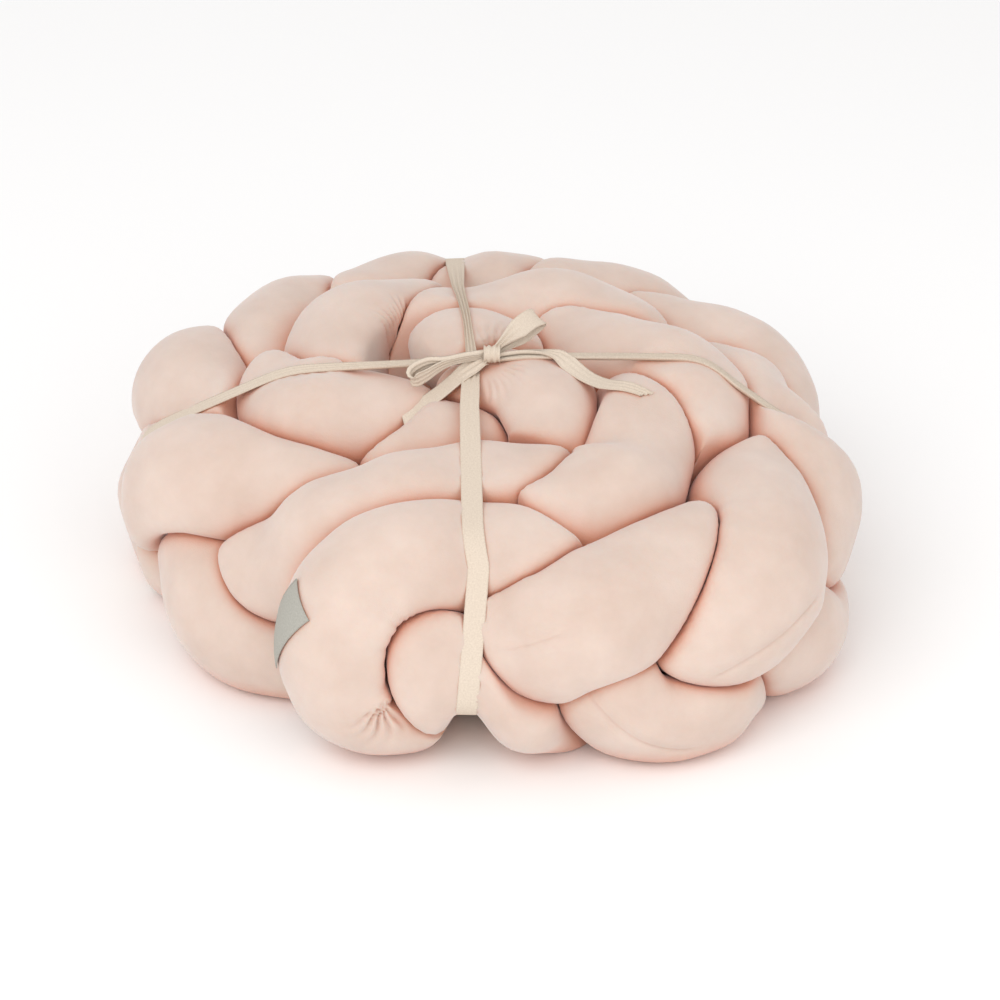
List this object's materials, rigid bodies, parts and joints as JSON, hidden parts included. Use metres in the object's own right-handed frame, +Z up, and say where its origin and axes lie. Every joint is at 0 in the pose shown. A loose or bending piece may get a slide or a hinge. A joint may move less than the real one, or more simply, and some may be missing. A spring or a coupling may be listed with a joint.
{
  "type": "rolled plaited crib bumper",
  "caption": "Plaited crib bumper of stuffed velvet tubes, rolled into a flat spiral and tied crosswise with a cotton tape in a bow, for padding the inside of a cot.",
  "frame": {"origin": "middle of the roll's box in plan, on the surface it lies on", "axes": "+Z up through the roll, -Y toward the side with the folded outer end and the label, +X to the right seen from that side"},
  "size_m": [0.491, 0.4778, 0.196],
  "materials": {
    "velvet": "short-pile velvet with a pale sheen",
    "tape": "natural cotton twill tape",
    "label": "plain woven label, bare"
  },
  "bodies": {
    "root": {"tube_folded": "velvet", "tube_single": "velvet", "tie_tape": "tape", "label": "label"}
  },
  "joints": []
}
